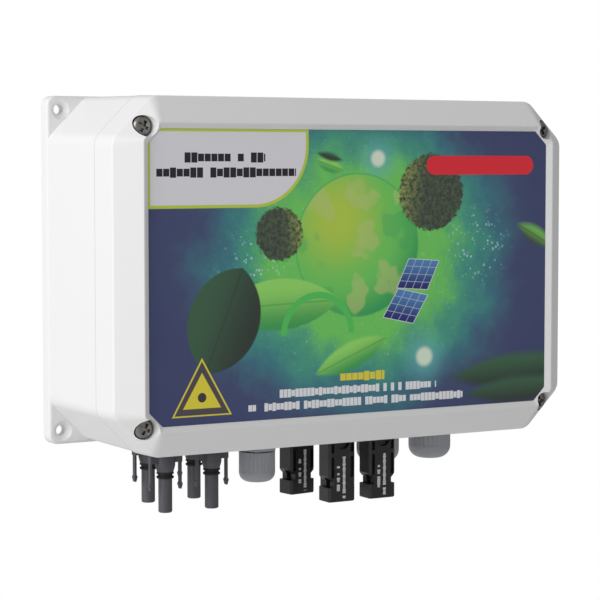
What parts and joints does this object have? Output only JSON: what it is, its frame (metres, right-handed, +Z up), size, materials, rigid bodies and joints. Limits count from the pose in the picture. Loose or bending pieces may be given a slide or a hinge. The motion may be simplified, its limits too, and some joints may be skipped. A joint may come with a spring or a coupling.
{
  "type": "dc combiner box",
  "caption": "Wall-mounted plastic box that joins several solar strings through fuses onto one output, with latching string connectors and cable glands underneath.",
  "frame": {"origin": "centre of the flat back face, midway between the four wall fixing holes", "axes": "+X to the right of someone facing the box, +Y into the wall, +Z up; the cover faces -Y and the connectors hang towards -Z"},
  "size_m": [0.27, 0.098, 0.217],
  "materials": {
    "case_plastic": "fine moulded",
    "cover_plastic": "fine moulded",
    "seal_rubber": "matte",
    "label_film": "satin print",
    "dark_steel": "dark",
    "socket_plastic": "fine moulded",
    "plug_plastic": "fine moulded",
    "tinned_copper": "satin",
    "gland_plastic": "fine moulded",
    "board_laminate": "varnished",
    "plain_brass": "turned",
    "bright_steel": "plated",
    "spring_brass": "plated",
    "fuse_ceramic": "glazed",
    "terminal_plastic": "moulded",
    "varistor_coating": "dipped",
    "bar_copper": "rolled",
    "red_insulation": "satin",
    "black_insulation": "satin"
  },
  "bodies": {
    "enclosure": {"rear_case": "case_plastic", "socket_connector_1": "socket_plastic", "socket_connector_2": "socket_plastic", "socket_connector_3": "socket_plastic", "socket_connector_4": "socket_plastic", "plug_connector_1": "plug_plastic", "plug_connector_2": "plug_plastic", "plug_connector_3": "plug_plastic", "plug_connector_4": "plug_plastic", "socket_contacts": "tinned_copper", "pin_contacts": "tinned_copper", "connector_seals": "seal_rubber", "probe_seals": "seal_rubber", "gland_washers": "seal_rubber", "connector_nuts": "plug_plastic", "gland_body_1": "gland_plastic", "gland_body_2": "gland_plastic", "gland_body_3": "gland_plastic", "gland_locknuts": "gland_plastic", "circuit_board": "board_laminate", "board_spacers": "plain_brass", "earth_terminal": "plain_brass", "board_screws": "bright_steel", "terminal_screws": "bright_steel", "fuse_clips": "spring_brass", "string_terminals_pos": "terminal_plastic", "string_terminals_neg": "terminal_plastic", "output_terminals": "terminal_plastic", "varistors": "varistor_coating", "busbar_positive": "bar_copper", "busbar_negative": "bar_copper", "string_leads_pos": "red_insulation", "string_leads_neg": "black_insulation"},
    "cover": {"front_cover": "cover_plastic", "cover_gasket": "seal_rubber", "front_label": "label_film"},
    "screw_seal_1": {"screw_oring_1": "seal_rubber"},
    "cover_screw_1": {"cover_screw_1": "dark_steel"},
    "screw_seal_2": {"screw_oring_2": "seal_rubber"},
    "cover_screw_2": {"cover_screw_2": "dark_steel"},
    "screw_seal_3": {"screw_oring_3": "seal_rubber"},
    "cover_screw_3": {"cover_screw_3": "dark_steel"},
    "screw_seal_4": {"screw_oring_4": "seal_rubber"},
    "cover_screw_4": {"cover_screw_4": "dark_steel"},
    "gland_seal_1": {"gland_seal_1": "seal_rubber"},
    "gland_dome_1": {"gland_dome_1": "gland_plastic"},
    "gland_seal_2": {"gland_seal_2": "seal_rubber"},
    "gland_dome_2": {"gland_dome_2": "gland_plastic"},
    "gland_seal_3": {"gland_seal_3": "seal_rubber"},
    "gland_dome_3": {"gland_dome_3": "gland_plastic"},
    "string_fuse_1": {"string_fuse_1": "fuse_ceramic"},
    "string_fuse_2": {"string_fuse_2": "fuse_ceramic"},
    "string_fuse_3": {"string_fuse_3": "fuse_ceramic"},
    "string_fuse_4": {"string_fuse_4": "fuse_ceramic"},
    "string_fuse_5": {"string_fuse_5": "fuse_ceramic"},
    "string_fuse_6": {"string_fuse_6": "fuse_ceramic"},
    "string_fuse_7": {"string_fuse_7": "fuse_ceramic"},
    "string_fuse_8": {"string_fuse_8": "fuse_ceramic"}
  },
  "joints": [
    {"name": "cover_lift", "type": "slide", "parent": "enclosure", "child": "cover", "axis": [0, -1, 0], "range_m": [0, 0.12]},
    {"name": "screw_1_back_out", "type": "slide", "parent": "cover", "child": "screw_seal_1", "axis": [0, -1, 0], "range_m": [0, 0.008]},
    {"name": "screw_1_turn", "type": "hinge", "parent": "screw_seal_1", "child": "cover_screw_1", "pos_m": [-0.1198, -0.09, 0.0742], "axis": [0, -1, 0], "range_deg": [0, 1440]},
    {"name": "screw_2_back_out", "type": "slide", "parent": "cover", "child": "screw_seal_2", "axis": [0, -1, 0], "range_m": [0, 0.008]},
    {"name": "screw_2_turn", "type": "hinge", "parent": "screw_seal_2", "child": "cover_screw_2", "pos_m": [0.1198, -0.09, 0.0742], "axis": [0, -1, 0], "range_deg": [0, 1440]},
    {"name": "screw_3_back_out", "type": "slide", "parent": "cover", "child": "screw_seal_3", "axis": [0, -1, 0], "range_m": [0, 0.008]},
    {"name": "screw_3_turn", "type": "hinge", "parent": "screw_seal_3", "child": "cover_screw_3", "pos_m": [0.1198, -0.09, -0.0742], "axis": [0, -1, 0], "range_deg": [0, 1440]},
    {"name": "screw_4_back_out", "type": "slide", "parent": "cover", "child": "screw_seal_4", "axis": [0, -1, 0], "range_m": [0, 0.008]},
    {"name": "screw_4_turn", "type": "hinge", "parent": "screw_seal_4", "child": "cover_screw_4", "pos_m": [-0.1198, -0.09, -0.0742], "axis": [0, -1, 0], "range_deg": [0, 1440]},
    {"name": "gland_1_seal_slide", "type": "slide", "parent": "enclosure", "child": "gland_seal_1", "axis": [0, 0, -1], "range_m": [0, 0.0045]},
    {"name": "gland_1_nut_turn", "type": "hinge", "parent": "gland_seal_1", "child": "gland_dome_1", "pos_m": [-0.03, -0.042, -0.105], "axis": [0, 0, -1], "range_deg": [0, 1080]},
    {"name": "gland_2_seal_slide", "type": "slide", "parent": "enclosure", "child": "gland_seal_2", "axis": [0, 0, -1], "range_m": [0, 0.0045]},
    {"name": "gland_2_nut_turn", "type": "hinge", "parent": "gland_seal_2", "child": "gland_dome_2", "pos_m": [0.0597, -0.0204, -0.105], "axis": [0, 0, -1], "range_deg": [0, 1080]},
    {"name": "gland_3_seal_slide", "type": "slide", "parent": "enclosure", "child": "gland_seal_3", "axis": [0, 0, -1], "range_m": [0, 0.0045]},
    {"name": "gland_3_nut_turn", "type": "hinge", "parent": "gland_seal_3", "child": "gland_dome_3", "pos_m": [0.0947, -0.0204, -0.105], "axis": [0, 0, -1], "range_deg": [0, 1080]},
    {"name": "fuse_1_pull", "type": "slide", "parent": "enclosure", "child": "string_fuse_1", "axis": [0, -1, 0], "range_m": [0, 0.025]},
    {"name": "fuse_2_pull", "type": "slide", "parent": "enclosure", "child": "string_fuse_2", "axis": [0, -1, 0], "range_m": [0, 0.025]},
    {"name": "fuse_3_pull", "type": "slide", "parent": "enclosure", "child": "string_fuse_3", "axis": [0, -1, 0], "range_m": [0, 0.025]},
    {"name": "fuse_4_pull", "type": "slide", "parent": "enclosure", "child": "string_fuse_4", "axis": [0, -1, 0], "range_m": [0, 0.025]},
    {"name": "fuse_5_pull", "type": "slide", "parent": "enclosure", "child": "string_fuse_5", "axis": [0, -1, 0], "range_m": [0, 0.025]},
    {"name": "fuse_6_pull", "type": "slide", "parent": "enclosure", "child": "string_fuse_6", "axis": [0, -1, 0], "range_m": [0, 0.025]},
    {"name": "fuse_7_pull", "type": "slide", "parent": "enclosure", "child": "string_fuse_7", "axis": [0, -1, 0], "range_m": [0, 0.025]},
    {"name": "fuse_8_pull", "type": "slide", "parent": "enclosure", "child": "string_fuse_8", "axis": [0, -1, 0], "range_m": [0, 0.025]}
  ],
  "couplings": [
    {"joint": "screw_1_turn", "follows": "screw_1_back_out", "rad_per_m": 3141.6},
    {"joint": "screw_2_turn", "follows": "screw_2_back_out", "rad_per_m": 3141.6},
    {"joint": "screw_3_turn", "follows": "screw_3_back_out", "rad_per_m": 3141.6},
    {"joint": "screw_4_turn", "follows": "screw_4_back_out", "rad_per_m": 3141.6},
    {"joint": "gland_1_nut_turn", "follows": "gland_1_seal_slide", "rad_per_m": 4188.8},
    {"joint": "gland_2_nut_turn", "follows": "gland_2_seal_slide", "rad_per_m": 4188.8},
    {"joint": "gland_3_nut_turn", "follows": "gland_3_seal_slide", "rad_per_m": 4188.8}
  ]
}
